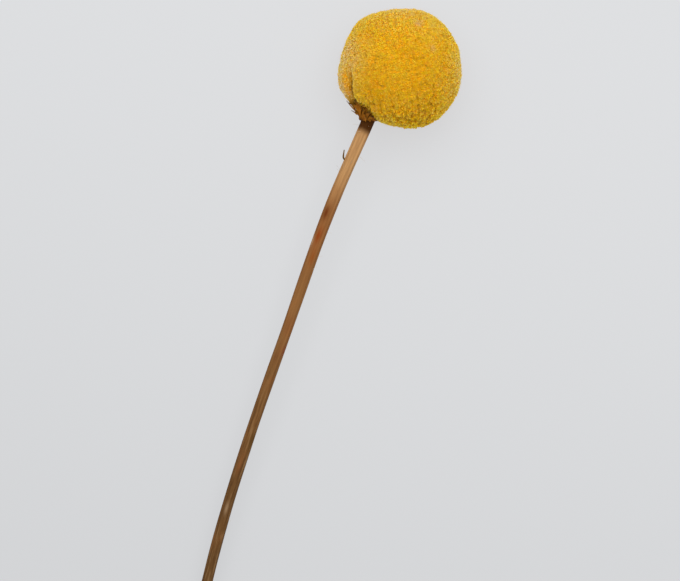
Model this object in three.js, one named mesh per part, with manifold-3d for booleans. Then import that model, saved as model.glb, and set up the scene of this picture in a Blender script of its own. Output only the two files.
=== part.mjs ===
// A dried billy button: one ball of packed florets on a bare, ribbed stem, cut and lying on a flat surface.
// Millimetres, +Z up. The origin is the middle of the small flat spot that the ball rests on, right below
// the ball's centre. The stem runs from the ball towards -Y, bowed a little, and comes down to its cut end.
import * as THREE from "three";
import { ConvexHull } from "three/addons/math/ConvexHull.js";
import { mergeVertices } from "three/addons/utils/BufferGeometryUtils.js";
import Module from "manifold-3d";

const wasm = await Module();
wasm.setup();

const degrees = THREE.MathUtils.degToRad;
const GOLDEN_ANGLE = Math.PI * (3 - Math.sqrt(5));

// The flower head.
const HEAD_RADIUS = 13.9; // to the rims of the florets
const FLAT_DEPTH = 0.9; // how much of the ball its own weight has pressed flat
const HEAD_HEIGHT = HEAD_RADIUS - FLAT_DEPTH; // of its centre above the surface
const FLORETS = 600;
const FLORET_RELIEF = 0.95; // from the rims down to the gaps between florets
const FLORET_PIT = 0.45; // from the rim down to the middle of a floret
const RIM_SHARE = 0.66; // a floret's rim, as a share of the way to the gap beside it
const FLORET_JITTER = 0.13; // as a share of the spacing
const RELIEF_SPREAD = 0.35; // how much florets differ in height, as a share of the relief

// The hollow at the ball's base, and the fold that runs from it up one side. Florets part along the fold.
// Places on the ball are an angle from its base and an azimuth round the stem, from the -X side upwards.
const BASE_HOLLOW = { depth: 1.9, spread: 13 };
const FOLD = { azimuth: 40, from: 8, to: 70, fade: 20, depth: 1.3, halfWidth: 1.1, lip: 0.5, parting: 0.95 };

// Swellings and shallow dips that keep the ball from being perfectly round: where, how high and how wide.
const SWELLINGS = [
  { polar: 22, azimuth: 30, height: -0.6, spread: 12 },
  { polar: 24, azimuth: 178, height: -0.95, spread: 16 },
  { polar: 44, azimuth: 6, height: 0.6, spread: 15 },
  { polar: 64, azimuth: 182, height: 0.65, spread: 20 },
  { polar: 98, azimuth: 180, height: 0.5, spread: 16 },
  { polar: 80, azimuth: 0, height: -0.25, spread: 22 },
  { polar: 109, azimuth: 0, height: 0.3, spread: 14 },
  { polar: 143, azimuth: 0, height: -0.85, spread: 20 },
  { polar: 100, azimuth: 262, height: 0.35, spread: 30 },
  { polar: 80, azimuth: 95, height: -0.3, spread: 28 },
];

// The stem: where its middle runs in plan and how thick it is there, from the ball to the cut end.
const STEM_COURSE = [
  { x: -3.6, y: -13.4, radius: 1.36 },
  { x: -6.2, y: -34, radius: 1.3 },
  { x: -8.1, y: -64, radius: 1.18 },
  { x: -9.6, y: -92, radius: 1.12 },
  { x: -10.0, y: -112, radius: 1.11 },
  { x: -9.5, y: -128, radius: 1.13 },
  { x: -6.6, y: -172, radius: 1.2 },
  { x: 0.4, y: -236, radius: 1.28 },
];
const STEM_INSET = 4.5; // how far its top stands in the ball
const STEM_SAG = 1.25; // 1 is a straight slope down to the surface; more brings the end in flatter
const RIBS = 9;
const RIB_HEIGHT = 0.07; // as a share of the radius
const RIB_TWIST = 70; // over the whole stem
const STEM_STEPS = 42; // along its length
const CUT_SLANT = 28; // of the cut end, from square

// The withered scale on the stem: its tip points to the ball and stands off towards the -X side.
const SCALE = { fromBall: 9.8, length: 2.7, width: 1.0, thickness: 0.66, stand: 14, side: 172, sunk: 0.3 };

// The rosette of small dry bracts between the ball and the stem.
const BRACTS = 11;
const BRACT_RING = 10.5; // angle from the base where the bracts part
const BRACT_REACH = { near: 24, far: 13.5 }; // angle that their tips reach, by the fold and away from it
const BRACT_UNEVEN = 0.3; // how much shorter the shortest are, as a share
const BRACT_THICKNESS = 0.6;
const BRACT_LIFT = 0.12; // how far the tips stand off the ball
const BRACT_POINT = 1.4; // 1 is a straight-sided point; more is a rounder one
const BRACT_SEGMENTS = 6; // round the stem, for each bract
const FIT_GAP = 0.3; // between pieces that lie against each other

// The same run of draws every time.
function seeded(seed) {
  let state = seed;
  return () => {
    state = (state + 0x6d2b79f5) | 0;
    let t = Math.imul(state ^ (state >>> 15), 1 | state);
    t = (t + Math.imul(t ^ (t >>> 7), 61 | t)) ^ t;
    return ((t ^ (t >>> 14)) >>> 0) / 4294967296;
  };
}

// The stem's middle, as a smooth curve. It sinks from the ball's centre to the surface, and its top stands in
// the ball.
const headCentre = new THREE.Vector3(0, 0, HEAD_HEIGHT);
const stemEnd = STEM_COURSE.at(-1);
const course = STEM_COURSE.map(({ x, y }) => {
  const left = 1 - y / stemEnd.y;
  return new THREE.Vector3(x, y, stemEnd.radius + (HEAD_HEIGHT - stemEnd.radius) * left ** STEM_SAG);
});
const entry = course[0];
const stemTop = entry.clone().sub(course[1]).setLength(STEM_INSET).add(entry);
const stemCurve = new THREE.CatmullRomCurve3([stemTop, ...course], false, "centripetal");
const stemLength = stemCurve.getLength();
const radii = [entry, ...course].map((point) => STEM_COURSE[Math.max(course.indexOf(point), 0)].radius);

// The radius at a share of the curve's own parameter, eased between the stated ones.
function stemRadius(share) {
  const at = THREE.MathUtils.clamp(share, 0, 1) * (radii.length - 1);
  const i = Math.min(Math.floor(at), radii.length - 2);
  return THREE.MathUtils.lerp(radii[i], radii[i + 1], smooth(0, 1, at - i));
}

// Middle, direction and the two ways across the stem at a share of the curve's own parameter.
function stemFrame(share) {
  const middle = stemCurve.getPoint(share);
  const along = stemCurve.getTangent(share);
  const across = new THREE.Vector3(0, 0, 1).cross(along).normalize();
  const up = new THREE.Vector3().crossVectors(along, across);
  return { middle, along, across, up };
}

// The head's own directions: base points from its centre to where the stem enters, side lies level on the
// -X side, and azimuths turn from side upwards.
const base = entry.clone().sub(headCentre).normalize();
const side = new THREE.Vector3(base.y, -base.x, 0).normalize();
const above = new THREE.Vector3().crossVectors(side, base);

function headDirection(polar, azimuth) {
  return new THREE.Vector3()
    .addScaledVector(base, Math.cos(polar))
    .addScaledVector(side, Math.sin(polar) * Math.cos(azimuth))
    .addScaledVector(above, Math.sin(polar) * Math.sin(azimuth));
}

function bell(distance, spread) {
  return Math.exp(-((distance / spread) ** 2));
}

function smooth(low, high, value) {
  return THREE.MathUtils.smoothstep(value, low, high);
}

const swellings = SWELLINGS.map((s) => ({ ...s, way: headDirection(degrees(s.polar), degrees(s.azimuth)) }));

// Where a direction lies: degrees from the base, and millimetres across from the fold's line.
function foldPlace(way) {
  const polar = Math.acos(THREE.MathUtils.clamp(way.dot(base), -1, 1));
  const turn = Math.atan2(way.dot(above), way.dot(side)) - degrees(FOLD.azimuth);
  const across = HEAD_RADIUS * Math.sin(polar) * Math.atan2(Math.sin(turn), Math.cos(turn));
  return { polar: THREE.MathUtils.radToDeg(polar), across };
}

// Radius of the floret rims in a direction: the ball, its swellings, the hollow base and the fold.
function headRadius(way) {
  const { polar, across } = foldPlace(way);
  let radius = HEAD_RADIUS - BASE_HOLLOW.depth * bell(polar, BASE_HOLLOW.spread);
  for (const s of swellings) {
    radius += s.height * bell(THREE.MathUtils.radToDeg(way.angleTo(s.way)), s.spread);
  }
  const lips = bell(Math.abs(across) - 2 * FOLD.halfWidth, FOLD.halfWidth);
  return radius + foldStrength(polar) * (FOLD.lip * lips - FOLD.depth * bell(across, FOLD.halfWidth));
}

function foldStrength(polar) {
  const begun = smooth(FOLD.from, FOLD.from + FOLD.fade / 2, polar);
  const over = smooth(FOLD.to - FOLD.fade, FOLD.to, polar);
  return begun * (1 - over);
}

// The direction of a floret that the fold has pushed aside, if it stood in the fold's line.
function besideFold(way) {
  const { polar, across } = foldPlace(way);
  if (Math.abs(across) > FOLD.parting || foldStrength(polar) < 0.5) return way;
  const turn = (Math.sign(across) * FOLD.parting) / (HEAD_RADIUS * Math.sin(degrees(polar)));
  return headDirection(degrees(polar), degrees(FOLD.azimuth) + turn);
}

// A three.js geometry as a closed solid, for joining and cutting.
function solidOf(geometry) {
  const bare = geometry.clone();
  bare.deleteAttribute("normal");
  bare.deleteAttribute("uv");
  const merged = mergeVertices(bare, 1e-4);
  return new wasm.Manifold(
    new wasm.Mesh({
      numProp: 3,
      vertProperties: new Float32Array(merged.attributes.position.array),
      triVerts: new Uint32Array(merged.index.array),
    }),
  );
}

// A solid as a three.js geometry, without any loose scrap that a cut has left.
function geometryOf(solid) {
  const largest = solid.decompose().sort((a, b) => b.volume() - a.volume())[0];
  const mesh = largest.getMesh();
  const geometry = new THREE.BufferGeometry();
  geometry.setAttribute("position", new THREE.BufferAttribute(new Float32Array(mesh.vertProperties), 3));
  geometry.setIndex(new THREE.BufferAttribute(new Uint32Array(mesh.triVerts), 1));
  geometry.computeVertexNormals();
  return geometry;
}

// A cylinder bent along the course: ridges and grooves alternate round it, and its far end is cut slanting.
function ribbedStem() {
  const geometry = new THREE.CylinderGeometry(1, 1, 1, 2 * RIBS, STEM_STEPS);
  const position = geometry.attributes.position;
  for (let i = 0; i < position.count; i++) {
    const share = 0.5 - position.getY(i);
    const spoke = Math.atan2(position.getZ(i), position.getX(i));
    const angle = spoke + degrees(RIB_TWIST) * share;
    const rib = 1 + RIB_HEIGHT * Math.cos(RIBS * spoke);
    const reach = Math.hypot(position.getX(i), position.getZ(i)) * rib * stemRadius(share);
    const { middle, along, across, up } = stemFrame(share);
    const place = middle
      .addScaledVector(across, Math.cos(angle) * reach)
      .addScaledVector(up, Math.sin(angle) * reach);
    const slant = share > 1 - 0.5 / STEM_STEPS ? Math.tan(degrees(CUT_SLANT)) : 0; // at the last ring only
    place.addScaledVector(along, Math.sin(angle) * reach * slant);
    position.setXYZ(i, place.x, place.y, Math.max(place.z, 0));
  }
  return solidOf(geometry);
}

// One small pointed scale with its root sunk in the stem.
function stemScale() {
  const share = stemCurve.getUtoTmapping((STEM_INSET + SCALE.fromBall) / stemLength);
  const { middle, along, across, up } = stemFrame(share);
  const [angle, stand] = [degrees(SCALE.side), degrees(SCALE.stand)];
  const out = across.multiplyScalar(Math.cos(angle)).addScaledVector(up, Math.sin(angle));
  const root = middle.addScaledVector(out, stemRadius(share) - SCALE.sunk);
  const tipwards = out.clone().multiplyScalar(Math.sin(stand)).addScaledVector(along, -Math.cos(stand));
  const face = out.clone().multiplyScalar(Math.cos(stand)).addScaledVector(along, Math.sin(stand));
  const edge = new THREE.Vector3().crossVectors(face, tipwards);
  const geometry = new THREE.ConeGeometry(0.5, 1, 6).translate(0, 0.5, 0);
  geometry.scale(SCALE.thickness, SCALE.length, SCALE.width);
  geometry.applyMatrix4(new THREE.Matrix4().makeBasis(face, tipwards, edge).setPosition(root));
  return solidOf(geometry);
}

// The plain round hole that the stem's top stands in, as a solid to cut away.
function socketCutter() {
  const { middle, along } = stemFrame(0);
  const radius = radii[0] * (1 + RIB_HEIGHT) + FIT_GAP;
  const length = HEAD_RADIUS;
  const geometry = new THREE.CylinderGeometry(radius, radius, length, 20);
  const turn = new THREE.Quaternion().setFromUnitVectors(new THREE.Vector3(0, 1, 0), along);
  const centre = middle.addScaledVector(along, length / 2 - FIT_GAP);
  geometry.applyMatrix4(new THREE.Matrix4().compose(centre, turn, new THREE.Vector3(1, 1, 1)));
  geometry.translate(0, 0, -HEAD_HEIGHT);
  return solidOf(geometry);
}

// The directions in which the florets stand. They follow the golden angle from the base to the crown.
function floretMiddles(random) {
  const spacing = Math.sqrt((4 * Math.PI) / FLORETS);
  return Array.from({ length: FLORETS }, (_, i) => {
    const polar = Math.acos(1 - (2 * (i + 0.5)) / FLORETS);
    const shift = new THREE.Vector3(random() - 0.5, random() - 0.5, random() - 0.5);
    const way = headDirection(polar, i * GOLDEN_ANGLE).addScaledVector(shift, 2 * FLORET_JITTER * spacing);
    return besideFold(way.normalize());
  });
}

// The ball, round its own centre. Each floret is a cup with a raised rim round a pit. Where three florets
// meet is a gap, and a rim has one point towards each neighbour.
function flowerHead() {
  const random = seeded(7);
  const middles = floretMiddles(random);
  const heights = middles.map(() => (random() - 0.5) * RELIEF_SPREAD * FLORET_RELIEF);

  const vertices = [];
  const addVertex = (way, lowered) => {
    const place = way.clone().multiplyScalar(headRadius(way) - lowered);
    vertices.push(place.x, place.y, Math.max(place.z, -HEAD_HEIGHT));
    return vertices.length / 3 - 1;
  };
  const pits = middles.map((way, i) => addVertex(way, FLORET_PIT + heights[i]));
  const gaps = new Map(); // "i,j": the gap beside the step from floret i to floret j
  const meetings = new ConvexHull().setFromPoints(middles).faces.map(({ edge }) => {
    const trio = [edge, edge.next, edge.prev].map((each) => middles.indexOf(each.head().point));
    const centre = new THREE.Vector3();
    trio.forEach((i) => centre.add(middles[i]));
    const gap = addVertex(centre.normalize(), FLORET_RELIEF);
    trio.forEach((i, n) => gaps.set(`${i},${trio[(n + 1) % 3]}`, gap));
    return { trio, gap };
  });
  const rims = new Map(); // "i,j": the rim of floret i towards floret j
  for (const key of gaps.keys()) {
    const [i, j] = key.split(",").map(Number);
    const way = middles[i].clone().lerp(middles[j], RIM_SHARE / 2).normalize();
    rims.set(key, addVertex(way, heights[i]));
  }

  const triangles = [];
  for (const { trio, gap } of meetings) {
    trio.forEach((i, n) => {
      const [j, k] = [trio[(n + 1) % 3], trio[(n + 2) % 3]];
      const [rim, nextRim] = [rims.get(`${i},${j}`), rims.get(`${i},${k}`)];
      triangles.push(pits[i], rim, nextRim); // the cup
      triangles.push(rim, gap, nextRim); // its outer wall
      triangles.push(rim, gaps.get(`${j},${i}`), gap); // down to the valley between i and j
    });
  }
  const geometry = new THREE.BufferGeometry();
  geometry.setAttribute("position", new THREE.Float32BufferAttribute(vertices, 3));
  geometry.setIndex(triangles);
  return geometryOf(solidOf(geometry).subtract(socketCutter()));
}

// Splits a lathe's quads along their other diagonal, from one step of its profile onwards.
function splitOtherWay(geometry, steps, firstStep) {
  const { index } = geometry;
  for (let i = 0; i < index.count; i += 6) {
    if ((i / 6) % steps < firstStep) continue;
    const [a, b, d, c] = [0, 1, 2, 3].map((corner) => index.getX(i + corner));
    [a, b, c, a, c, d].forEach((vertex, corner) => index.setX(i + corner, vertex));
  }
}

// The rosette lies under the ball, round the stem: a thin closed ring whose outer edge is cut into bracts. Its
// quads are split alike on both faces, so the faces keep apart where the ring follows the fold.
function bractRosette() {
  const random = seeded(23);
  const reaches = Array.from({ length: BRACTS }, (_, i) => {
    const fromFold = (2 * Math.PI * (i + 0.5)) / BRACTS - degrees(FOLD.azimuth);
    const nearness = 0.5 + 0.5 * Math.cos(fromFold);
    const reach = THREE.MathUtils.lerp(BRACT_REACH.far, BRACT_REACH.near, nearness);
    return BRACT_RING + (reach - BRACT_RING) * (1 - BRACT_UNEVEN * random());
  });
  const hole = (radii[0] * (1 + RIB_HEIGHT) + FIT_GAP) / (HEAD_RADIUS - BASE_HOLLOW.depth);
  const underside = RELIEF_SPREAD * FLORET_RELIEF * 0.5 + FIT_GAP; // clear of the tallest florets
  const rings = [0, 0.4, 0.75, 1]; // from the hole to the tips
  const inner = rings.map((r) => new THREE.Vector2(1 + r, 0));
  const outer = rings.map((r) => new THREE.Vector2(1 + r, 1)).reverse();
  const profile = [...inner, ...outer, inner[0]];
  const geometry = new THREE.LatheGeometry(profile, BRACTS * BRACT_SEGMENTS, Math.PI / 2); // from azimuth 0
  splitOtherWay(geometry, profile.length - 1, inner.length);
  const position = geometry.attributes.position;
  for (let i = 0; i < position.count; i++) {
    const turn = (Math.atan2(position.getZ(i), position.getX(i)) / (2 * Math.PI) + 1) % 1;
    const ring = Math.hypot(position.getX(i), position.getZ(i)) - 1;
    const at = Math.round(turn * BRACTS * BRACT_SEGMENTS) / BRACT_SEGMENTS;
    const point = 1 - (2 * Math.abs((at % 1) - 0.5)) ** BRACT_POINT; // 1 in a bract's middle, 0 between two
    const reach = THREE.MathUtils.lerp(BRACT_RING, reaches[Math.floor(at) % BRACTS], point);
    const way = headDirection(THREE.MathUtils.lerp(hole, degrees(reach), ring), turn * 2 * Math.PI);
    const lift = BRACT_LIFT * point * ring ** 2 + BRACT_THICKNESS * position.getY(i);
    way.multiplyScalar(headRadius(way) + underside + lift);
    position.setXYZ(i, way.x, way.y, way.z);
  }
  return geometryOf(solidOf(geometry));
}

function piece(name, geometry, color, roughness) {
  const mesh = new THREE.Mesh(geometry, new THREE.MeshStandardMaterial({ color, roughness, metalness: 0 }));
  mesh.name = name;
  return mesh;
}

const billyButton = new THREE.Group();
const head = new THREE.Group();
head.position.copy(headCentre);
head.add(piece("flower_head", flowerHead(), 0xd9a21e, 0.95));
head.add(piece("bracts", bractRosette(), 0x5a3a1c, 0.85));
billyButton.add(head);
billyButton.add(piece("stem", geometryOf(ribbedStem().add(stemScale())), 0x9c7148, 0.75));

export default billyButton;
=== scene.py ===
# %% [markdown]
# # A dried billy button
# A billy button carries one ball of tiny tubular florets on a long bare stem, and it keeps its yellow
# when it dries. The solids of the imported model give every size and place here. They stay as the frame,
# and finer pieces stand where they are: a core with thousands of florets, a ruff of dry bracts, and a
# ribbed stem.

# %% Load the frame
import math
import random

import bpy
import numpy as np
from mathutils import Matrix, Vector
from mathutils.bvhtree import BVHTree
from mathutils.kdtree import KDTree


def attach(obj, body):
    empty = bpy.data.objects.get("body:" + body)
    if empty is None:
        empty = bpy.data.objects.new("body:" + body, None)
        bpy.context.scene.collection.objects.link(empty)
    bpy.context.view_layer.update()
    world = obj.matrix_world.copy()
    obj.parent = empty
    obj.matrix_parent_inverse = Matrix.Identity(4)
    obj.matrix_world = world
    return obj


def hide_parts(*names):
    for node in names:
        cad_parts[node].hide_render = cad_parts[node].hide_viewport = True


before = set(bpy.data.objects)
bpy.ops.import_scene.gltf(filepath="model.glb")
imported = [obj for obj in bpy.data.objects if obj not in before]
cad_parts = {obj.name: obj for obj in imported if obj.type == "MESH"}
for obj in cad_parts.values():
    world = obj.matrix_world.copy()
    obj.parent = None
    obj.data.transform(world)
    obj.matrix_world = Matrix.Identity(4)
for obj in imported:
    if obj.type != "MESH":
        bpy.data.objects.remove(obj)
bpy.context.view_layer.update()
MM = 0.001
print("nodes", sorted(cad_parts))

# %% [markdown]
# ## Directions on the ball
# The florets, the fold and the bracts are all placed by where they lie on the ball. A place is an angle
# from the ball's base, where the stem enters, and an azimuth round the stem, which turns from the left
# side upwards. Two such angles are easier to think in than x, y and z, and one function turns them into a
# direction.

# %% The ball's own axes
HEAD_CENTRE = Vector((0, 0, 13)) * MM
STEM_ENTRY = Vector((-3.6, -13.4, 12.17)) * MM
base = (STEM_ENTRY - HEAD_CENTRE).normalized()
side = Vector((base.y, -base.x, 0)).normalized()
above = side.cross(base)


def ball_direction(polar, azimuth):
    """The direction at an angle from the base and an azimuth round it, both in degrees."""
    polar, azimuth = math.radians(polar), math.radians(azimuth)
    round_stem = side * math.cos(azimuth) + above * math.sin(azimuth)
    return base * math.cos(polar) + round_stem * math.sin(polar)


def ball_angles(way):
    """The angle from the base and the azimuth of a direction, in degrees."""
    polar = math.acos(max(-1, min(1, way.dot(base))))
    return math.degrees(polar), math.degrees(math.atan2(way.dot(above), way.dot(side)))


print("the stem enters along", [round(v, 3) for v in base])

# %% [markdown]
# ## A few habits of the hand
# An operator acts on all that is selected, so each step starts by selecting one piece alone. In edit
# mode, points and faces are picked by their place, because a script can't click on them.


# %% Select, pick and finish
def take(*pieces):
    """Selects these pieces alone. The first one becomes the active piece."""
    bpy.ops.object.select_all(action="DESELECT")
    for piece in pieces:
        piece.select_set(True)
    bpy.context.view_layer.objects.active = pieces[0]


def new_piece(name, add, **settings):
    """Adds a primitive with nothing else selected, and names it."""
    bpy.ops.object.select_all(action="DESELECT")
    add(**settings)
    piece = bpy.context.object
    piece.name = piece.data.name = name
    return piece


def pick(piece, kind, test):
    """Goes into edit mode with only those points, edges or faces selected that pass the test."""
    take(piece)
    bpy.ops.object.mode_set(mode="EDIT")
    bpy.ops.mesh.select_mode(type=kind)
    bpy.ops.mesh.select_all(action="DESELECT")
    bpy.ops.object.mode_set(mode="OBJECT")
    mesh = piece.data
    for element in {"VERT": mesh.vertices, "EDGE": mesh.edges, "FACE": mesh.polygons}[kind]:
        element.select = bool(test(element))
    bpy.ops.object.mode_set(mode="EDIT")


def put_down():
    """Back to object mode."""
    bpy.ops.object.mode_set(mode="OBJECT")


def modify(piece, kind, **settings):
    """Adds a modifier and applies it at once."""
    take(piece)
    modifier = piece.modifiers.new(kind.title(), kind)
    for setting, value in settings.items():
        setattr(modifier, setting, value)
    bpy.ops.object.modifier_apply(modifier=modifier.name)


def settle(piece):
    """Puts the object at the origin, unturned and unscaled, with its place in its mesh."""
    take(piece)
    bpy.ops.object.transform_apply(location=True, rotation=True, scale=True)
    return piece


def mark(piece, name, values, kind="FLOAT"):
    """Stores a number or a vector for each point, which a material can read."""
    attribute = piece.data.attributes.new(name, kind, "POINT")
    field = "value" if kind == "FLOAT" else "vector"
    attribute.data.foreach_set(field, np.asarray(values, np.float32).ravel())


def triangles(piece):
    """How many triangles a piece's faces make."""
    return sum(len(face.vertices) - 2 for face in piece.data.polygons)


# %% [markdown]
# ## Shader maths as plain sums
# A material is a tree of nodes. Written out node by node, a sum such as 1 - mask is hard to read, so a
# socket is wrapped in a small class that knows how to add and multiply. Colours still go through Mix
# nodes, because a Math node would turn them grey.


# %% Sockets that can be added
class Socket:
    """A node's output, in sums with numbers or other sockets."""

    def __init__(self, finish, output):
        self.finish, self.output = finish, output

    def sum_of(self, operation, first, second):
        return self.finish.node("ShaderNodeMath", {"operation": operation}, {0: first, 1: second})

    def __add__(self, other):
        return self.sum_of("ADD", self, other)

    def __sub__(self, other):
        return self.sum_of("SUBTRACT", self, other)

    def __rsub__(self, other):
        return self.sum_of("SUBTRACT", other, self)

    def __mul__(self, other):
        return self.sum_of("MULTIPLY", self, other)

    def __truediv__(self, other):
        return self.sum_of("DIVIDE", self, other)

    def __pow__(self, other):
        return self.sum_of("POWER", self, other)

    __radd__, __rmul__ = __add__, __mul__


class Finish:
    """A material, with the few kinds of node that this flower needs."""

    def __init__(self, name):
        self.material = bpy.data.materials.new(name)
        self.material.use_nodes = True
        self.tree = self.material.node_tree
        self.shader = self.tree.nodes["Principled BSDF"]
        self.place = self.node("ShaderNodeTexCoord", output="Object")

    def feed(self, socket, value):
        if isinstance(value, Socket):
            self.tree.links.new(value.output, socket)
        else:
            socket.default_value = value

    def node(self, kind, settings=None, inputs=None, output=0):
        """Adds a node: its settings first, then the values or links of its sockets."""
        node = self.tree.nodes.new(kind)
        for setting, value in (settings or {}).items():
            setattr(node, setting, value)
        for socket, value in (inputs or {}).items():
            self.feed(node.inputs[socket], value)
        return Socket(self, node.outputs[output])

    def mix(self, share, first, second):
        """One colour at share 0, the other at share 1."""
        settings = {"data_type": "RGBA", "clamp_factor": True}
        return self.node("ShaderNodeMix", settings, {0: share, 6: first, 7: second}, output=2)

    def noise(self, vector, size, detail=2.0, roughness=0.5):
        """Soft random spots of about this size, from 0 to 1."""
        inputs = {"Vector": vector, "Scale": 1 / size, "Detail": detail, "Roughness": roughness}
        return self.node("ShaderNodeTexNoise", None, inputs)

    def steps(self, value, low, high):
        """0 below low, 1 above high, and eased between."""
        settings = {"interpolation_type": "SMOOTHSTEP"}
        inputs = {"Value": value, "From Min": low, "From Max": high}
        return self.node("ShaderNodeMapRange", settings, inputs)

    def attribute(self, name, output="Fac"):
        return self.node("ShaderNodeAttribute", {"attribute_name": name}, output=output)

    def stretched(self, vector, factors):
        return self.node("ShaderNodeVectorMath", {"operation": "MULTIPLY"}, {0: vector, 1: factors})

    def patch(self, vector, point, spread):
        """1 at a point, fading to 0 at about twice the spread."""
        measure = {"operation": "DISTANCE"}
        distance = self.node("ShaderNodeVectorMath", measure, {0: vector, 1: point}, output="Value")
        return self.node("ShaderNodeMath", {"operation": "EXPONENT"}, {0: (distance / spread) ** 2 * -1})

    def bump(self, height, distance, strength=1.0):
        inputs = {"Height": height, "Distance": distance, "Strength": strength}
        self.feed(self.shader.inputs["Normal"], self.node("ShaderNodeBump", None, inputs))

    def surface(self, **values):
        """Feeds the shader's own sockets. Underscores in the names stand for spaces."""
        for name, value in values.items():
            self.feed(self.shader.inputs[name.replace("_", " ")], value)


def tint(red, green, blue):
    """A colour from 0 to 255, as the light-proportional numbers that a shader takes."""
    shares = [channel / 255 for channel in (red, green, blue)]
    return (*(s / 12.92 if s <= 0.04045 else ((s + 0.055) / 1.055) ** 2.4 for s in shares), 1.0)


# %% [markdown]
# ## The fold and the withered patch
# This ball didn't open evenly: a fold runs from the stem up its left side, and the part beyond it stands
# out as a lobe. At the fold's foot a patch has withered and shrunk, and round the stem on that side a
# ruff of dry bracts fills the ball's hollow base. The core, the florets and the bristles all have to know
# where these are, so they are set once, before any of them. The fold's line runs up one azimuth and turns
# aside near the stem.

# %% The fold's line
BALL = 13.9 * MM
FOLD = {  # in degrees: up which azimuth, how far it turns aside near the stem, how far up it goes
    "azimuth": 41, "turn": 14, "to": 70, "parting": 0.44 * MM, "depth": 1.45 * MM, "width": 0.55 * MM,
}
PATCH = {"polar": 20, "azimuth": 70, "spread": 12, "depth": 0.5 * MM}
RUFF = {"azimuth": 35, "spread": 11.5, "height": 3.1 * MM}  # where bracts fill the hollow base


def ramp(value, low, high):
    """0 at or below low, 1 at or above high, and eased between."""
    share = max(0, min(1, (value - low) / (high - low)))
    return share * share * (3 - 2 * share)


def fold_azimuth(polar):
    return FOLD["azimuth"] + FOLD["turn"] * (1 - ramp(polar, 14, 34))


def fold_distance(way):
    """How far a direction lies across from the fold's line, and how much fold there is at it."""
    polar, azimuth = ball_angles(way)
    turn = (azimuth - fold_azimuth(polar) + 180) % 360 - 180
    across = BALL * math.sin(math.radians(polar)) * math.radians(turn)
    starts, ends = ramp(polar, 6, 12), ramp(FOLD["to"] - polar, 4, 34)
    deeper_below = 1 + 0.4 * ramp(46 - polar, 0, 14)
    return across, starts * ends * deeper_below


def parted(way):
    """A direction pushed out of the fold's line."""
    across, strength = fold_distance(way)
    room = FOLD["parting"] * strength
    if abs(across) >= room:
        return way
    polar, _ = ball_angles(way)
    turn = math.degrees(math.copysign(room, across) / (BALL * math.sin(math.radians(polar))))
    return ball_direction(polar, fold_azimuth(polar) + turn)


print("the fold ends", round(BALL / MM * math.radians(FOLD["to"]), 1), "mm up the ball from its base")

# %% Raised, pressed in and withered
# In the fold, part of the withering is painted shade in the crease.
WITHERED = {"fold": 1.5, "patch": 0.9, "stem": 0.8}  # how much, in the fold, in the patch and by the stem
FOLD_DRY = {"aside": 0.22, "width": 0.56}  # in mm across the fold: where it is driest, and how widely
STEM_DRY = {"fades": (8, 13), "farther": (16, 19)}  # between which angles, and how much farther by the ruff


def nearness(way, polar, azimuth, spread):
    """1 at a place on the ball, fading to 0 away from it."""
    return math.exp(-((math.degrees(way.angle(ball_direction(polar, azimuth))) / spread) ** 2))


def in_patch(way):
    """1 in the withered patch and 0 outside it, with a rather sudden edge."""
    away = math.degrees(way.angle(ball_direction(PATCH["polar"], PATCH["azimuth"])))
    return math.exp(-((away / PATCH["spread"]) ** 4))


def toward_ruff(azimuth):
    """1 on the side where the ruff reaches far, and 0 on the other."""
    return (0.5 + 0.5 * math.cos(math.radians(azimuth - RUFF["azimuth"]))) ** 1.5


def raised(way):
    """How much higher the ball is than its solid: more at the ruff's foot, less in fold and patch."""
    across, strength = fold_distance(way)
    polar, azimuth = ball_angles(way)
    fold = FOLD["depth"] * strength * math.exp(-((across / FOLD["width"]) ** 2))
    foot = RUFF["height"] * toward_ruff(azimuth) * math.exp(-((polar / RUFF["spread"]) ** 2))
    return foot - fold - PATCH["depth"] * in_patch(way)


def withering_and_crease_shade(way):
    """How withered florets are: in the fold's lower half, in the patch at its foot, and round the ruff.
    Along the fold's line this is partly painted shade in the crease.
    """
    across, strength = fold_distance(way)
    polar, azimuth = ball_angles(way)
    off_line = (across / MM + FOLD_DRY["aside"]) / FOLD_DRY["width"]
    # Along the fold's line the withering is laid on strongly, partly as painted shade in the crease.
    fold = WITHERED["fold"] * strength**1.5 * math.exp(-(off_line**2))
    ruff = toward_ruff(azimuth)
    near, far = (fade + more * ruff**2 for fade, more in zip(STEM_DRY["fades"], STEM_DRY["farther"]))
    by_stem = WITHERED["stem"] * (1 - ramp(polar, near, far))
    return min(1, fold + WITHERED["patch"] * in_patch(way) + by_stem)


print("withered at the fold's foot", round(withering_and_crease_shade(ball_direction(16, 45)), 2))

# %% [markdown]
# ## The head's core
# Under the florets is a firm core, made of what each cluster of florets grows from. It could be a new
# sphere, but the solid already has the pressed spot below, the hollow round the stem, the swellings and
# the fold. So a copy of it is taken, its florets are melted away by a voxel remesh and smoothing, and
# what is left is the core. Smoothing also fills the fold, so the points along the fold's line are pressed
# in again, and so are those in the patch. Under the ruff the hollow base is filled, because the bracts
# stand on it.

# %% Melt the solid's relief away
CORE_VOXEL = 0.45 * MM
CORE_SINK = 0.32 * MM  # from the middle of the solid's relief down to the core


def copy_of(node, name):
    """A copy of a solid's mesh, with its loose triangles joined at their corners."""
    piece = bpy.data.objects.new(name, node.data.copy())
    piece.data.name = name
    bpy.context.scene.collection.objects.link(piece)
    pick(piece, "VERT", lambda point: True)
    bpy.ops.mesh.remove_doubles(threshold=0.001 * MM)
    put_down()
    return piece


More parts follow.
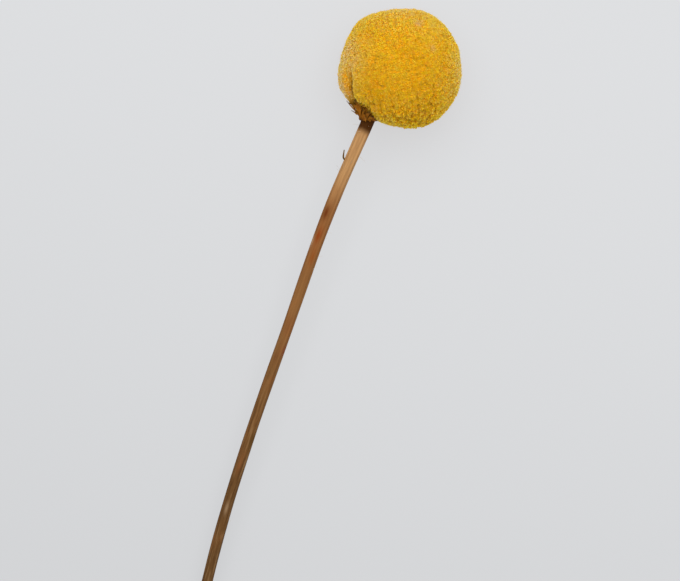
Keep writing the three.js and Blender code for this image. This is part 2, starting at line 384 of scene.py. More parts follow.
core = copy_of(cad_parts["flower_head"], "head_core")
modify(core, "REMESH", mode="VOXEL", voxel_size=CORE_VOXEL, use_smooth_shade=True)
modify(core, "SMOOTH", factor=0.6, iterations=14)
ways = [(point.co - HEAD_CENTRE).normalized() for point in core.data.vertices]
for point, way in zip(core.data.vertices, ways):
    point.co += way * raised(way)
mark(core, "dry", [withering_and_crease_shade(way) for way in ways])
ground = BVHTree.FromObject(core, bpy.context.evaluated_depsgraph_get())
modify(core, "DISPLACE", strength=-CORE_SINK, mid_level=0)
if "UVMap" in core.data.attributes:
    core.data.attributes.remove(core.data.attributes["UVMap"])
print("core", len(core.data.vertices), "points", triangles(core), "triangles")

# %% [markdown]
# ## One floret of each kind
# A floret is a tube a third of a millimetre across that opens into five short lobes, with the tip of its
# style in the middle. Some stay half closed or in bud, and some wither to a crumpled stub. Each kind is
# modelled once, as by hand, with few faces, because thousands of copies follow. Its root is below the
# origin and its mouth is at it.

# %% Floret kinds
SIDES = 10


def spoke(point):
    """Which of a floret's ten spokes a point is on."""
    return round(math.atan2(point.co.y, point.co.x) / (2 * math.pi / SIDES)) % SIDES


def reach(point):
    """How far a point is from a floret's own line."""
    return math.hypot(point.co.x, point.co.y)


def is_top(face):
    """Whether a face closes a tube at its mouth."""
    return face.normal.z > 0.9 and face.center.z > -0.5 * MM


def tube(name, neck):
    """A closed cone that widens from its root to its neck, a little below the origin."""
    settings = {"vertices": SIDES, "radius1": 0, "radius2": neck * MM, "depth": 1.0 * MM}
    return settle(new_piece(name, bpy.ops.mesh.primitive_cone_add, location=(0, 0, -0.8 * MM), **settings))


def raise_top(height, widen):
    """Pulls the picked top up into a new ring, and makes that wider or narrower."""
    bpy.ops.mesh.extrude_region_move(TRANSFORM_OT_translate={"value": (0, 0, height * MM)})
    bpy.ops.transform.resize(value=(widen, widen, 1))


def sink_middle(rim, depth):
    """Leaves a rim round the picked top and sinks what is inside it."""
    bpy.ops.mesh.inset(thickness=rim * MM)
    bpy.ops.transform.translate(value=(0, 0, -depth * MM))


def open_floret():
    floret = tube("floret_open", 0.15)
    pick(floret, "FACE", is_top)
    raise_top(0.27, 1.95)
    sink_middle(0.12, 0.1)
    put_down()
    pick(floret, "VERT", lambda point: reach(point) > 0.25 * MM and spoke(point) % 2)
    bpy.ops.transform.resize(value=(0.68, 0.68, 1))
    bpy.ops.transform.translate(value=(0, 0, -0.07 * MM))
    put_down()
    style = new_piece(
        "style", bpy.ops.mesh.primitive_cone_add, vertices=4, radius1=0.06 * MM, radius2=0, depth=0.26 * MM,
        location=(0.015 * MM, 0, -0.05 * MM),
    )
    take(floret, style)
    bpy.ops.object.join()
    return floret


def half_open_floret():
    floret = tube("floret_half_open", 0.16)
    pick(floret, "FACE", is_top)
    raise_top(0.33, 1.45)
    sink_middle(0.08, 0.14)
    put_down()
    pick(floret, "VERT", lambda point: point.co.z > -0.02 * MM and spoke(point) % 2 == 0)
    bpy.ops.transform.resize(value=(0.9, 0.9, 1))
    bpy.ops.transform.translate(value=(0, 0, 0.07 * MM))
    put_down()
    return floret


def bud_floret():
    floret = tube("floret_bud", 0.16)
    pick(floret, "FACE", is_top)
    raise_top(0.22, 1.25)
    raise_top(0.16, 0.5)
    put_down()
    pick(floret, "VERT", lambda point: point.co.z > -0.12 * MM and spoke(point) % 2)
    bpy.ops.transform.resize(value=(0.74, 0.74, 1))
    put_down()
    return floret


def withered_floret():
    floret = tube("floret_withered", 0.15)
    pick(floret, "FACE", is_top)
    raise_top(0.24, 1.3)
    raise_top(0.22, 0.6)
    bpy.ops.transform.translate(value=(0.1 * MM, 0, 0))
    put_down()
    pick(floret, "VERT", lambda point: point.co.z > -0.1 * MM and spoke(point) in (1, 2, 5, 8))
    bpy.ops.transform.resize(value=(0.6, 0.6, 1))
    bpy.ops.transform.translate(value=(-0.05 * MM, 0.03 * MM, 0.06 * MM))
    put_down()
    return floret


kinds = {
    "open": open_floret(),
    "half": half_open_floret(),
    "bud": bud_floret(),
    "withered": withered_floret(),
}
for kind, floret in kinds.items():
    heights = [point.co.z / MM for point in floret.data.vertices]
    mark(floret, "height", heights)
    take(floret)
    bpy.ops.object.shade_smooth_by_angle(angle=math.radians(50))
    lowest, highest = round(min(heights), 2), round(max(heights), 2)
    print(kind, triangles(floret), "triangles, from", lowest, "to", highest, "mm")

# %% [markdown]
# ## Thousands of florets
# Florets stand at even distances all over the ball. A spiral that turns by the golden angle gives that,
# with no pole where they crowd. They grow in small clusters, each a low dome, so florets at a cluster's
# edge stand a little lower and lean out, and there their colour is painted darker as shade. Low on the
# right the clusters stand out as tufts, with darker gaps between them, where that painted shade is
# stronger. In the fold the florets are pushed aside, and near the stem many have withered.

# %% Where each floret stands
FLORETS = 10800
CLUSTERS = 1250
GOLDEN_ANGLE = 180 * (3 - math.sqrt(5))
JITTER = 0.3  # of the spacing
BARE = 7.5  # degrees round the stem with no florets
MOUTH = 0.12 * MM  # of a floret above the core's first surface
DOME = 0.15 * MM  # how much lower a cluster is at its edge
DOME_SLOPE = 0.25  # how far the florets at a cluster's edge lean out
TUFTS = {"polar": 42, "azimuth": 156, "spread": 28, "rise": 0.5 * MM}  # where the clusters stand out more
DEEPEST = -0.28 * MM  # a floret between two tufts
UNEVEN = 0.03 * MM  # how unevenly high florets stand
ASKEW = {"fresh": 0.06, "withered": 0.25}  # how far they lean at random, and how much more once withered
CRUMPLED = 0.8  # the share of florets that are stubs where all is withered
OPEN_BELOW, HALF_OPEN_BELOW = 0.6, 0.87  # which draws from 0 to 1 open a fresh floret; the rest are buds
draw = random.Random(11)


def spiral(count, turn=0.0):
    """Evenly spread directions, from the base to the crown."""
    return [
        ball_direction(math.degrees(math.acos(1 - 2 * (i + 0.5) / count)), i * GOLDEN_ANGLE + turn)
        for i in range(count)
    ]


def shaken(way, amount):
    """A direction turned at random by up to about this amount."""
    return (way + amount * Vector([draw.uniform(-1, 1) for _ in range(3)])).normalized()


cluster_ways = [shaken(way, 0.03) for way in spiral(CLUSTERS, turn=40)]
clusters = KDTree(CLUSTERS)
for i, way in enumerate(cluster_ways):
    clusters.insert(way, i)
clusters.balance()
spacing = math.sqrt(4 * math.pi / FLORETS)
cluster_reach = math.sqrt(4 / CLUSTERS)
ways = [parted(shaken(way, JITTER * spacing)) for way in spiral(FLORETS)]
ways = [way for way in ways if ball_angles(way)[0] > BARE]
print(len(ways), "florets,", round(spacing * BALL / MM, 2), "mm apart")

# %% How one is planted
def plant(kind, number, spot, lean, turn, size, length, **marks):
    """A copy of one kind of floret, with its own mesh, at a place on the ball."""
    mesh = kinds[kind].data.copy()
    upright = lean.to_track_quat("Z", "Y").to_matrix().to_4x4() @ Matrix.Rotation(turn, 4, "Z")
    mesh.transform(Matrix.Translation(spot) @ upright @ Matrix.Diagonal((size, size, length, 1)))
    floret = bpy.data.objects.new(f"floret.{number}", mesh)
    bpy.context.scene.collection.objects.link(floret)
    for name, value in marks.items():
        mark(floret, name, np.full(len(mesh.vertices), value))
    return floret


def floret_at(number, way):
    """A floret of a kind and size drawn at random, on the ball's surface in this direction."""
    spot, normal, _, _ = ground.ray_cast(HEAD_CENTRE, way)
    near, _, far = clusters.find(way)
    edge = far / cluster_reach
    dry = withering_and_crease_shade(way)
    tuft = nearness(way, TUFTS["polar"], TUFTS["azimuth"], TUFTS["spread"])
    out_of_cluster = (way - near) / cluster_reach * DOME_SLOPE * (1 + tuft)
    upright = (way * 0.55 + normal * 0.45 + out_of_cluster).normalized()
    lean = shaken(upright, ASKEW["fresh"] + ASKEW["withered"] * dry)
    dome = tuft * TUFTS["rise"] * (0.7 - edge**2) - DOME * edge**2
    height = MOUTH + max(dome, DEEPEST) + draw.gauss(0, UNEVEN) + dry * draw.uniform(-0.25, 0.2) * MM
    # Painted shade: florets at a cluster's edge, and more between the tufts, get a darker olive colour.
    painted_gap_shade = min(1, edge**3 * (0.3 + 0.9 * tuft))
    chance = draw.random()
    if draw.random() < dry * CRUMPLED:
        kind = "withered"
    else:
        kind = "open" if chance < OPEN_BELOW else "half" if chance < HALF_OPEN_BELOW else "bud"
    size, length, turn = draw.uniform(0.95, 1.2), draw.uniform(0.9, 1.1), draw.uniform(0, 2 * math.pi)
    marks = {"shade": draw.random(), "dry": dry, "painted_gap_shade": painted_gap_shade}
    return plant(kind, number, spot + lean * height, lean, turn, size, length, **marks)


def joined(name, copies):
    """Joins copies into one piece, whose lowest points the surface under it presses flat."""
    take(*copies)
    bpy.ops.object.join()
    piece = bpy.context.object
    piece.name = piece.data.name = name
    for point in piece.data.vertices:
        point.co.z = max(point.co.z, 0)
    return piece


# %% Plant the ball belt by belt
BELTS = ("florets_base", "florets_lower", "florets_upper", "florets_crown")
floret_pieces = []
for number, name in enumerate(BELTS):
    belt = [way for way in ways if int(len(BELTS) / 2 * (1 - way.dot(base)) * 0.9999) == number]
    piece = joined(name, [floret_at(i, way) for i, way in enumerate(belt)])
    floret_pieces.append(piece)
    print(name, len(belt), "florets,", triangles(piece), "triangles")
for floret in kinds.values():
    bpy.data.objects.remove(floret)

# %% [markdown]
# ## Bristles between the florets
# Between the florets stand fine pale bristles, which carry the seed later. They are what makes the ball's
# outline look soft. A hair system isn't a mesh, so each bristle is a three-sided spike with four faces.

# %% Bristles
BRISTLES = 6000
BRISTLE_RADIUS, BRISTLE_LENGTH = 0.04 * MM, 1.2 * MM
spike = new_piece(
    "bristle", bpy.ops.mesh.primitive_cone_add, vertices=3, radius1=BRISTLE_RADIUS, radius2=0,
    depth=BRISTLE_LENGTH, location=(0, 0, -0.2 * MM),
)
kinds = {"bristle": settle(spike)}
bristles = []
for number, way in enumerate(spiral(BRISTLES, turn=13)):
    way = parted(shaken(way, 0.02))
    if ball_angles(way)[0] < BARE:
        continue
    spot, normal, _, _ = ground.ray_cast(HEAD_CENTRE, way)
    lean = shaken((way + normal).normalized(), 0.35)
    spot += lean * draw.uniform(-0.15, 0.35) * MM
    turn, size = draw.uniform(0, 6), draw.uniform(0.6, 1.1)
    bristles.append(plant("bristle", number, spot, lean, turn, size, 1, dry=withering_and_crease_shade(way)))
bristle_piece = joined("bristles", bristles)
bpy.data.objects.remove(spike)
print(len(bristles), "bristles", triangles(bristle_piece), "triangles")

# %% [markdown]
# ## Yellow that isn't one yellow
# Dried florets are bright yellow at the mouth and a little deeper at the root, and withered ones are
# rusty brown. The deeper colour at the root is partly the floret's own and partly painted shade where it
# sinks between its neighbours. From a step away the ball shows soft patches, some oranger and some paler,
# with darker lines where two clusters meet; those lines are painted shade. Along the fold's line the rust
# also stands for painted shade in the crease. Close by, each floret has its own shade. The marks stored on
# each floret give the fine part, and noise on the ball's own coordinates gives the broad part. Light also
# soaks a little way into a dry floret, which softens the shade between one and the next.

# %% The florets' finish
yellow = Finish("dried yellow florets")
height = yellow.attribute("height")
shade = yellow.attribute("shade")
dry = yellow.attribute("dry")
broad = yellow.steps(yellow.noise(yellow.place, 5.5 * MM, 3), 0.38, 0.62)
colour = yellow.mix(broad, tint(250, 183, 10), tint(252, 193, 24))
orange = yellow.steps(yellow.noise(yellow.place, 3.2 * MM, 2), 0.5, 0.7)
colour = yellow.mix(orange * 0.4, colour, tint(252, 170, 12))
PALER = (  # where in mm, spread in mm, share, colour
    ((-10.6, -2.2, 19.5), 4.2, 0.5, (252, 212, 112)),  # on the left
    (tuple((HEAD_CENTRE + ball_direction(38, 16) * BALL) / MM), 3.2, 0.75, (252, 200, 106)),  # on the lobe
    ((1.2, 9.5, 22.8), 0.9, 0.5, (238, 200, 128)),  # two small specks
    ((5.8, 4.8, 24.6), 0.7, 0.5, (238, 200, 128)),
    ((-3, 12, 18), 7, 0.4, (252, 200, 76)),  # towards the crown
    ((12, 2, 16), 5, 0.4, (252, 206, 76)),  # on the right
)
for place, spread, share, paler in PALER:
    there = yellow.patch(yellow.place, Vector(place) * MM, spread * MM)
    colour = yellow.mix(there * share, colour, tint(*paler))
colour = yellow.mix(yellow.steps(shade, 0.2, 1.0) * 0.15, colour, tint(248, 206, 84))
# Painted shade at the clusters' edges and between the tufts.
colour = yellow.mix(yellow.attribute("painted_gap_shade") * 0.85, colour, tint(176, 122, 4))
# Towards each floret's root a deeper orange: partly the floret's own colour, partly painted shade where it
# sinks between its neighbours.
clear_of_root_shade = yellow.steps(height, -0.75, 0.05)
colour = yellow.mix((1 - clear_of_root_shade) * 0.2, colour, tint(240, 176, 10))
rust = yellow.mix(yellow.steps(shade, 0.2, 0.95), tint(88, 40, 0), tint(148, 80, 6))
# Rust where florets have withered; along the fold's line it also stands for painted shade in the crease.
colour = yellow.mix(dry, colour, rust)
yellow.bump(yellow.noise(yellow.place, 0.12 * MM, 2), 0.02 * MM, 0.3)
yellow.surface(Base_Color=colour, Roughness=0.9, Specular_IOR_Level=0.12)
yellow.surface(Subsurface_Weight=1.0, Subsurface_Radius=(1.0, 1.0, 0.6), Subsurface_Scale=0.3 * MM)

inner = Finish("dry receptacle")
speck = inner.noise(inner.place, 0.6 * MM, 3)
inner.bump(speck, 0.2 * MM, 0.7)
flesh = inner.mix(speck, tint(238, 172, 18), tint(244, 186, 26))
# Brown where the core has withered; along the fold's line also painted shade in the crease.
flesh = inner.mix(inner.attribute("dry"), flesh, tint(88, 42, 2))
inner.surface(Base_Color=flesh, Roughness=0.95, Specular_IOR_Level=0.05)

straw = Finish("straw bristles")
pale = straw.mix(straw.attribute("dry"), tint(240, 212, 120), tint(140, 92, 40))
straw_colour = straw.mix(straw.noise(straw.place, 2 * MM), pale, tint(228, 186, 76))
straw.surface(Base_Color=straw_colour, Roughness=0.7)


def dress(piece, finish):
    piece.data.materials.clear()
    piece.data.materials.append(finish.material)


for piece in floret_pieces:
    dress(piece, yellow)
dress(core, inner)
dress(bristle_piece, straw)
print("three finishes on", len(floret_pieces) + 2, "pieces")

# %% [markdown]
# ## The stem's course
# The stem is bowed a little and sinks from the ball to the surface. It could be bent by hand, but a stem
# modelled straight and bent by a curve keeps its ribs in order. The curve passes through the same places
# as the solid's middle, and each of its points also says how thick the stem is there and how far it has
# twisted.

# %% A curve through the stem
STEM_COURSE = (  # x, y and radius, from the ball to the cut end
    (-3.6, -13.4, 1.36), (-6.2, -34, 1.3), (-8.1, -64, 1.17), (-9.6, -92, 1.14),
    (-10.0, -112, 1.15), (-9.5, -128, 1.17), (-6.6, -172, 1.24), (0.4, -236, 1.31),
)
STEM_INSET = 4.5 * MM  # how far its top stands in the ball
STEM_SAG = 1.25  # 1 would be a straight fall to the surface
STEM_TWIST = 70  # degrees, over its length
CUT_SLANT = 28  # of the cut end, from square
SPARE = 2 * MM  # beyond the cut end, to cut away


def course_points():
    """The stem's middle, from its top inside the ball to just past the cut end."""
    end_y, end_radius = STEM_COURSE[-1][1:]
    points = []
    for x, y, _ in STEM_COURSE:
        rise = (HEAD_CENTRE.z / MM - end_radius) * (1 - y / end_y) ** STEM_SAG
        points.append(Vector((x, y, end_radius + rise)) * MM)
    top = points[0] + (points[0] - points[1]).normalized() * STEM_INSET
    past = points[-1] + (points[-1] - points[-2]).normalized() * SPARE
    return [top, *points, past]


middles = course_points()
radii = [STEM_COURSE[0][2], *(station[2] for station in STEM_COURSE), STEM_COURSE[-1][2]]
bpy.ops.object.select_all(action="DESELECT")
bpy.ops.curve.primitive_bezier_curve_add()
course = bpy.context.object
course.data.dimensions, course.data.twist_mode, course.data.resolution_u = "3D", "Z_UP", 24
spline = course.data.splines[0]
spline.bezier_points.add(len(middles) - 2)
for point, middle, radius in zip(spline.bezier_points, middles, radii):
    point.co = middle
    point.radius = radius
    point.tilt = math.radians(STEM_TWIST * (middle.y / middles[-1].y))
    point.handle_left_type = point.handle_right_type = "AUTO"
settle(course)
stem_length = spline.calc_length()
print("the stem's course is", round(stem_length / MM, 1), "mm long")

# %% Places on the stem
as_line = course.evaluated_get(bpy.context.evaluated_depsgraph_get()).to_mesh()
stem_line = np.array([point.co for point in as_line.vertices])
steps = np.linalg.norm(np.diff(stem_line, axis=0), axis=1)
stem_reach = np.concatenate(([0], np.cumsum(steps)))  # how far along the stem each of those points is


def along_at(y):
    """How far along the stem a place with this y is."""
    return float(np.interp(-y, -stem_line[:, 1], stem_reach))


def on_stem(along, angle):
    """A place in the stem's middle, the way out of it at an angle, and the way towards the ball."""
    middle, ahead = (
        Vector([np.interp(at, stem_reach, stem_line[:, axis]) for axis in range(3)])
        for at in (along, along + MM)
    )
    forward = (ahead - middle).normalized()
    across = Vector((0, 0, 1)).cross(forward).normalized()
    out = across * math.cos(math.radians(angle)) + forward.cross(across) * math.sin(math.radians(angle))
    return middle, out, -forward


print("30 mm below the ball is", round(along_at(STEM_ENTRY.y - 30 * MM) / MM, 1), "mm along the stem")

# %% [markdown]
# ## A ribbed stalk
# A dried stem has shallow ribs along it, with finer ridges on them. A round bar is added, its long edges
# are cut into short steps, and points are moved in and out by how far round they are. Where a point lies
# in the straight bar is stored before bending, and the finish reads it, so its streaks follow the stem
# round every bend.

# %% Model it straight, then bend it
STALK_SIDES = 54
STALK_RADIUS = 1.04 * MM  # where the course's own radius is 1
STALK_STEPS = (14, 15)  # each long edge in 14, and each of those in 15
RIBS = 9
RIB_HEIGHT = 0.055
stalk = new_piece(
    "ribbed_stem", bpy.ops.mesh.primitive_cylinder_add, vertices=STALK_SIDES, radius=STALK_RADIUS,
    depth=stem_length, location=(stem_length / 2, 0, 0), rotation=(0, math.pi / 2, 0),
)
settle(stalk)


def runs_along(edge):
    first, second = (stalk.data.vertices[v].co.x for v in edge.vertices)
    return abs(first - second) > 0.1 * MM


for steps in STALK_STEPS:
    pick(stalk, "EDGE", runs_along)
    bpy.ops.mesh.subdivide(number_cuts=steps - 1)
    put_down()
ridges = [draw.uniform(-0.025, 0.025) for _ in range(STALK_SIDES)]
for point in stalk.data.vertices:
    along, angle = point.co.x / MM, math.atan2(point.co.z, point.co.y)
    ridge = ridges[round(angle / (2 * math.pi) * STALK_SIDES) % STALK_SIDES]
    waver = 0.012 * math.sin(along / 3.1 + 2 * angle) + 0.012 * math.sin(along / 7.7 - angle)
    swell = 1 + RIB_HEIGHT * math.cos(RIBS * angle) + ridge + waver
    point.co.y *= swell
    point.co.z *= swell
straight_places = [(point.co.y, point.co.z, point.co.x) for point in stalk.data.vertices]
mark(stalk, "grain", straight_places, "FLOAT_VECTOR")
modify(stalk, "CURVE", object=course, deform_axis="POS_X")
print("stem", triangles(stalk), "triangles")

# %% [markdown]
# ## The cut end
# Shears leave a slanting cut that shows a pale, soft pith inside a thin brown rind. Bisect cuts the stem
# and fills the cut with one face, and an inset makes its rim the rind.

# %% Cut it
RIND = 0.16 * MM
PITH_DEPTH = 0.12 * MM
end, along = middles[-2], (middles[-1] - middles[-2]).normalized()
up = along.cross(Vector((0, 0, 1)).cross(along).normalized())
cut_normal = (along - up * math.tan(math.radians(CUT_SLANT))).normalized()
pick(stalk, "VERT", lambda point: True)
bpy.ops.mesh.bisect(plane_co=end, plane_no=cut_normal, use_fill=True, clear_outer=True)
put_down()
stalk.data.materials.append(None)
stalk.data.materials.append(None)


def is_cut(face):
    """Whether a face lies in the cut."""
    return face.normal.dot(cut_normal) > 0.99 and (face.center - end).length < 1.5 * MM


pick(stalk, "FACE", is_cut)
bpy.ops.mesh.inset(thickness=RIND)
bpy.ops.transform.translate(value=-cut_normal * PITH_DEPTH)
stalk.active_material_index = 1
bpy.ops.object.material_slot_assign()
put_down()
for point in stalk.data.vertices:
    point.co.z = max(point.co.z, 0)
take(stalk)
bpy.ops.object.shade_smooth_by_angle(angle=math.radians(50))
pith_faces = [face for face in stalk.data.polygons if face.material_index == 1]
stem_end = round(min(point.co.y for point in stalk.data.vertices) / MM, 1)
print("the cut shows", len(pith_faces), "face of pith, and the stem now ends at y", stem_end)

# %% [markdown]
# ## Dry bracts
# Under the ball lies a ruff of small papery bracts, brown and brittle, pressed to the florets with their
# tips curled off. It reaches far up the ball on the fold's side and hardly shows on the other, and every
# third bract is a short one that stands off more. One blade is made from a grid: its rows are scaled to a
# pointed outline. Each copy is then laid on the ball by turning its length into an angle from the base
# and its width into an azimuth, and is given a thin wall.

# %% One blade
ROWS = 8
blade = new_piece("blade", bpy.ops.mesh.primitive_grid_add, x_subdivisions=4, y_subdivisions=ROWS, size=1)
pick(blade, "VERT", lambda point: True)
bpy.ops.transform.translate(value=(0, 0.5, 0))
put_down()
for row in range(ROWS + 1):
    share = row / ROWS
    width = (0.72 + 0.55 * share) * (1 - share**2.4) ** 0.75 + 0.03
    pick(blade, "VERT", lambda point: abs(point.co.y - share) < 0.01)
    bpy.ops.transform.resize(value=(width, 1, 1))
    bpy.ops.transform.translate(value=(0, 0, 0.06 * math.sin(5 * share)))
    put_down()
print("blade", len(blade.data.polygons), "faces")

# %% Lay the bracts on the ball
BRACTS = 44
BRACT_ROOT = 6  # degrees from the base, at the stem
BRACT_TIP = {"near": 31, "far": 11.5}  # on the fold's side, and on the other side
BRACT_CLEAR = {"near": 0.3 * MM, "far": 0.12 * MM}  # over the core's first surface
BRACT_FOOT = {"near": 14.75 * MM, "far": 12.4 * MM}  # from the ball's middle to their roots
BRACT_WALL = 0.1 * MM


def laid_on_ball(mesh, reach, azimuth, width, foot, clear, lift, twist):
    """Bends a flat blade from the stem out onto the ball."""
    for point in mesh.vertices:
        across, length, off = point.co
        at = BRACT_ROOT + reach * length
        aside = math.degrees(across * width / (BALL * math.sin(math.radians(at))))
        way = ball_direction(at, azimuth + (aside + twist * length))
        spot, normal, _, _ = ground.ray_cast(HEAD_CENTRE, way)
        cupped = 0.9 * across**2 * width
        on_ball = max(0, min(1, (at - BRACT_ROOT - 2) / 6))
        ball_here = (spot - HEAD_CENTRE).length if spot and at > BARE else foot
        height = foot * (1 - on_ball) + (ball_here + clear) * on_ball
        point.co = HEAD_CENTRE + way * (height + lift * length**2 + off * MM + cupped)


bracts = []
for number in range(BRACTS):
    azimuth = number * 360 / BRACTS + draw.uniform(-5, 5)
    toward = toward_ruff(azimuth)
    tip, clear, foot = (
        place["far"] + (place["near"] - place["far"]) * toward
        for place in (BRACT_TIP, BRACT_CLEAR, BRACT_FOOT)
    )
    short = number % 3 == 0
    reach = (tip - BRACT_ROOT) * draw.uniform(0.75, 1.1) * (0.5 if short else 1)
    mesh = blade.data.copy()
    mark_length = [point.co.y for point in mesh.vertices]
    width, twist = draw.uniform(0.6, 1.05) * MM, draw.uniform(-22, 22)
    lift = (draw.uniform(0.5, 1.1) if short else draw.uniform(0.05, 0.4)) * toward * MM
    laid_on_ball(mesh, reach, azimuth, width, foot, clear, lift, twist)
    bract = bpy.data.objects.new(f"bract.{number}", mesh)
    bpy.context.scene.collection.objects.link(bract)
    mark(bract, "shade", np.full(len(mesh.vertices), draw.random()))
    mark(bract, "length", mark_length)
    bracts.append(bract)
bract_piece = joined("dry_bracts", bracts)
modify(bract_piece, "SOLIDIFY", thickness=BRACT_WALL, offset=0)
modify(bract_piece, "SUBSURF", levels=1, render_levels=1)
print(BRACTS, "bracts", triangles(bract_piece), "triangles")

# %% [markdown]
# ## A withered scale and stray hairs
# The stem is bare but for one withered scale and a few woolly hairs left from when it was young. The
# scale is the same blade, cupped, narrowed to its tip and bent in at its root until it meets the stem.

# %% The scale
SCALE = {  # side and stand in degrees: where round the stem it is, and how far it stands off
    "from_ball": 10.4 * MM, "side": 170, "stand": 7, "root": 1.85 * MM,  # from the stem's middle
    "length": 2.3 * MM, "width": 1.0 * MM, "wall": 0.24 * MM,
}
scale = bpy.data.objects.new("stem_scale", blade.data.copy())
bpy.context.scene.collection.objects.link(scale)
middle, out, ballward = on_stem(STEM_INSET + SCALE["from_ball"], SCALE["side"])
stand = math.radians(SCALE["stand"])
root = middle + out * SCALE["root"]
run = ballward * math.cos(stand) + out * math.sin(stand)
face_way = out * math.cos(stand) - ballward * math.sin(stand)
wide = run.cross(face_way)
for point in scale.data.vertices:
    across, length, off = point.co
    curl = 0.2 * length**2 * MM
    cupped = -2.6 * across**2 * (1 - length) ** 2 * MM
    rooted = -0.6 * max(0, 1 - length / 0.3) ** 2 * MM
    spread = run * length * SCALE["length"] + wide * across * SCALE["width"] * (1 - 0.6 * length)
    point.co = root + spread + face_way * (rooted + curl + cupped + 0.3 * off * MM)
for name, value in (("length", 1.0), ("shade", 0.0)):
    mark(scale, name, np.full(len(scale.data.vertices), value))
modify(scale, "SOLIDIFY", thickness=SCALE["wall"], offset=0)
modify(scale, "SUBSURF", levels=1, render_levels=1)
bpy.data.objects.remove(blade)
print("scale", triangles(scale), "triangles")

# %% Stray hairs
HAIRS, HAIRS_BY_BALL = 26, 14
BY_BALL, FARTHER = (1, 16), (16, 215)  # in mm from the ball: where those stand, and where the others
HAIR_RADIUS = 0.028 * MM
HAIR_REST = 0.03 * MM  # how high a hair's middle is where it lies on the surface
bpy.ops.object.select_all(action="DESELECT")
bpy.ops.curve.primitive_bezier_curve_add()
hair_piece = bpy.context.object
hair_piece.name = hair_piece.data.name = "stray_hairs"
hair_piece.data.splines.clear()
hair_piece.data.bevel_depth, hair_piece.data.bevel_resolution = HAIR_RADIUS, 0
hair_piece.data.use_fill_caps, hair_piece.data.resolution_u = True, 4
for number in range(HAIRS):
    along = STEM_INSET + draw.uniform(*(BY_BALL if number < HAIRS_BY_BALL else FARTHER)) * MM
    middle, out, ballward = on_stem(along, draw.uniform(0, 360))
    root = middle + out * 1.0 * MM
    lean = shaken((out + ballward * draw.uniform(-0.6, 1.2)).normalized(), 0.4)
    length = draw.uniform(0.8, 2.4) * MM
    hair = hair_piece.data.splines.new("NURBS")
    hair.points.add(3)
    bend = Vector([draw.uniform(-1, 1) for _ in range(3)]) * 0.25 * length
    for k, point in enumerate(hair.points):
        share = k / 3
        place = root + lean * length * share + bend * share**2
        place.z = max(place.z, HAIR_REST)
        point.co = (*place, 1)
        point.radius = 1 - 0.6 * share
    hair.use_endpoint_u, hair.order_u = True, 4
take(hair_piece)
bpy.ops.object.convert(target="MESH")
hair_piece = bpy.context.object
print(HAIRS, "hairs", triangles(hair_piece), "triangles")

# %% [markdown]
# ## Bark, pith and dry paper
# The stem is tan near the ball and browner below, with fine streaks along it, a dark band just below
# the ball, and a few red-brown stains. The dark band is partly darker dry stem and partly painted shade
# under the ball. Lower down the streaks are stronger. The streaks come from noise on the stored grain,
# squeezed along the stem.

# %% Stem finish
bark = Finish("dry ribbed bark")
grain = bark.attribute("grain", "Vector")
along = bark.node("ShaderNodeSeparateXYZ", None, {0: grain}, output="Z")
streaks = bark.noise(bark.stretched(grain, (1, 1, 0.07)), 0.45 * MM, 3, 0.6)
mottle = bark.noise(bark.stretched(grain, (1, 1, 0.35)), 2.2 * MM, 3)
colour = tint(184, 139, 90)
STEM_TONES = (  # from this y in mm to that one, the stem's colour changes by this share to this one
    (-24, -37, 0.85, (130, 80, 38)),
    (-42, -54, 0.6, (136, 96, 54)),
    (-56, -80, 0.7, (108, 75, 40)),
    (-84, -104, 0.7, (92, 65, 35)),
    (-108, -130, 0.5, (86, 62, 32)),
)
for first, last, share, tone in STEM_TONES:
    there = bark.steps(along, along_at(first * MM), along_at(last * MM))
    colour = bark.mix(there * share, colour, tint(*tone))
colour = bark.mix(bark.steps(streaks, 0.35, 0.7) * 0.3, colour, tint(98, 60, 30))
lower = bark.steps(along, along_at(-60 * MM), along_at(-95 * MM))
colour = bark.mix(bark.steps(streaks, 0.52, 0.66) * lower * 0.45, colour, tint(66, 42, 20))
colour = bark.mix((1 - bark.steps(streaks, 0.36, 0.5)) * lower * 0.45, colour, tint(146, 112, 76))
colour = bark.mix(bark.steps(mottle, 0.5, 0.75) * 0.35, colour, tint(138, 82, 42))
STAINS = (  # y in mm, angle from the right upwards, half its length, half its width, share, colour
    (-36.0, 110, 1.8, 0.45, 0.9, (96, 40, 6)),
    (-41.4, 102, 1.9, 0.5, 0.9, (132, 54, 8)),
    (-43.2, 150, 1.2, 0.25, 0.5, (214, 178, 140)),
    (-46.5, 88, 2.0, 0.42, 0.7, (136, 70, 22)),
    (-62.6, 95, 2.0, 0.5, 0.4, (116, 66, 36)),
    (-68.9, 35, 1.5, 0.45, 0.6, (120, 54, 42)),
    (-70.6, 110, 1.2, 0.4, 0.45, (104, 58, 30)),
    (-90.6, 50, 2.4, 0.5, 0.6, (80, 56, 20)),
    (-97.2, 100, 1.4, 0.45, 0.3, (134, 70, 36)),
    (-107.0, 90, 1.5, 0.32, 0.4, (180, 150, 114)),
)
for y, angle, length, width, share, stain in STAINS:
    turn = math.radians(angle - STEM_TWIST * y * MM / middles[-1].y)
    shape = Vector((1 / width, 1 / width, 1 / length)) / MM
    centre = Vector((math.cos(turn) * MM, math.sin(turn) * MM, along_at(y * MM))) * shape
    ragged = bark.patch(bark.stretched(grain, shape), centre, 1) * (streaks + 0.5)
    colour = bark.mix(ragged * share, colour, tint(*stain))
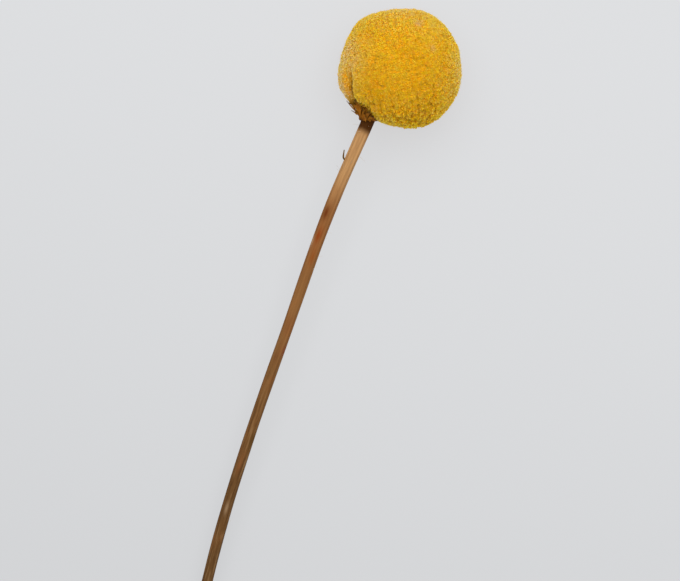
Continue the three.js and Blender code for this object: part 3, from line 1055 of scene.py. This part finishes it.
# A dark band just below the ball: partly darker dry stem, partly painted shade where the ball overhangs it.
dark_band_and_shade = 1 - bark.steps(along + (streaks - 0.5) * 1.2 * MM, STEM_INSET + 1.6 * MM, STEM_INSET + 3.6 * MM)
colour = bark.mix(dark_band_and_shade * 0.97, colour, tint(66, 32, 0))
bark.bump(streaks, 0.08 * MM, 0.8)
bark.surface(Base_Color=colour, Roughness=0.75, Specular_IOR_Level=0.06)
pith = Finish("pale pith")
rings = pith.noise(pith.place, 0.25 * MM, 4)
pith.bump(rings, 0.1 * MM)
pith.surface(Base_Color=pith.mix(rings, tint(226, 204, 160), tint(178, 142, 92)), Roughness=0.95)
stalk.data.materials[0], stalk.data.materials[1] = bark.material, pith.material

paper = Finish("dry brown bracts")
fleck = paper.noise(paper.place, 0.5 * MM, 3)
length = paper.attribute("length")
worn = paper.mix(fleck, tint(112, 60, 4), tint(180, 112, 26))
worn = paper.mix(paper.attribute("shade") * 0.5, worn, tint(190, 124, 38))
worn = paper.mix(1 - paper.steps(length, 0.0, 0.4), worn, tint(74, 38, 4))
worn = paper.mix(paper.steps(length, 0.6, 0.95) * 0.85, worn, tint(84, 64, 20))
paper.bump(fleck, 0.08 * MM, 0.7)
paper.surface(Base_Color=worn, Roughness=0.8, Specular_IOR_Level=0.08)
dress(bract_piece, paper)
dress(scale, paper)
wool = Finish("pale woolly hairs")
greyed = wool.mix(wool.noise(wool.place, 3 * MM), tint(226, 214, 190), tint(170, 140, 104))
wool.surface(Base_Color=greyed, Roughness=0.8)
dress(hair_piece, wool)

# %% [markdown]
# ## Floor, light and camera
# The flower lies on a plain pale floor and the camera looks straight down on it. The floor also glows a
# little, as a light table does, so the shadow stays faint, and its glow is painted dimmer towards the
# stem's cut end as a fall-off of light. A large round softbox lights the flower from above.

# %% Floor
FLOOR_GLOW = 0.6
floor = new_piece("floor", bpy.ops.mesh.primitive_plane_add, size=6)
pale = Finish("pale floor")
pale.surface(Base_Color=tint(97, 98, 99), Roughness=0.9, Specular_IOR_Level=0.1)
lengthwise = pale.node("ShaderNodeSeparateXYZ", None, {0: pale.place}, output="Y")
# Painted light: the glow is brighter beyond the ball and dimmer towards the stem's cut end, a painted
# fall-off across the floor.
glow_with_painted_falloff = pale.mix(pale.steps(lengthwise, -0.2, 0.04), tint(236, 237, 239), tint(252, 253, 255))
pale.surface(Emission_Color=glow_with_painted_falloff, Emission_Strength=FLOOR_GLOW)
floor.data.materials.append(pale.material)

# %% Light
world = bpy.data.worlds.new("studio")
bpy.context.scene.world = world
world.use_nodes = True
sky = world.node_tree.nodes["Background"]
sky.inputs["Color"].default_value = (0.97, 0.98, 1.0, 1)
sky.inputs["Strength"].default_value = 0.48
bpy.ops.object.light_add(type="AREA", location=(-0.03, 0.13, 0.55))
softbox = bpy.context.object
softbox.data.shape, softbox.data.size = "DISK", 0.7
softbox.data.energy = 3.45
softbox.rotation_euler = (-softbox.location).to_track_quat("-Z", "Y").to_euler()

# %% Camera
bpy.ops.object.camera_add(location=(0.00102, -0.05207, 0.4396), rotation=(0, 0, math.radians(16.2)))
camera = bpy.context.object
camera.data.lens, camera.data.sensor_width = 100, 36
bpy.context.scene.camera = camera
bpy.context.scene.view_settings.view_transform = "Standard"

# %% Bodies, with the solids hidden
for piece in (core, *floret_pieces, bristle_piece):
    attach(piece, "root")
    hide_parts("flower_head")
bpy.data.objects.remove(course)
for piece in (stalk, scale, hair_piece):
    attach(piece, "root")
    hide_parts("stem")
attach(bract_piece, "root")
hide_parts("bracts")
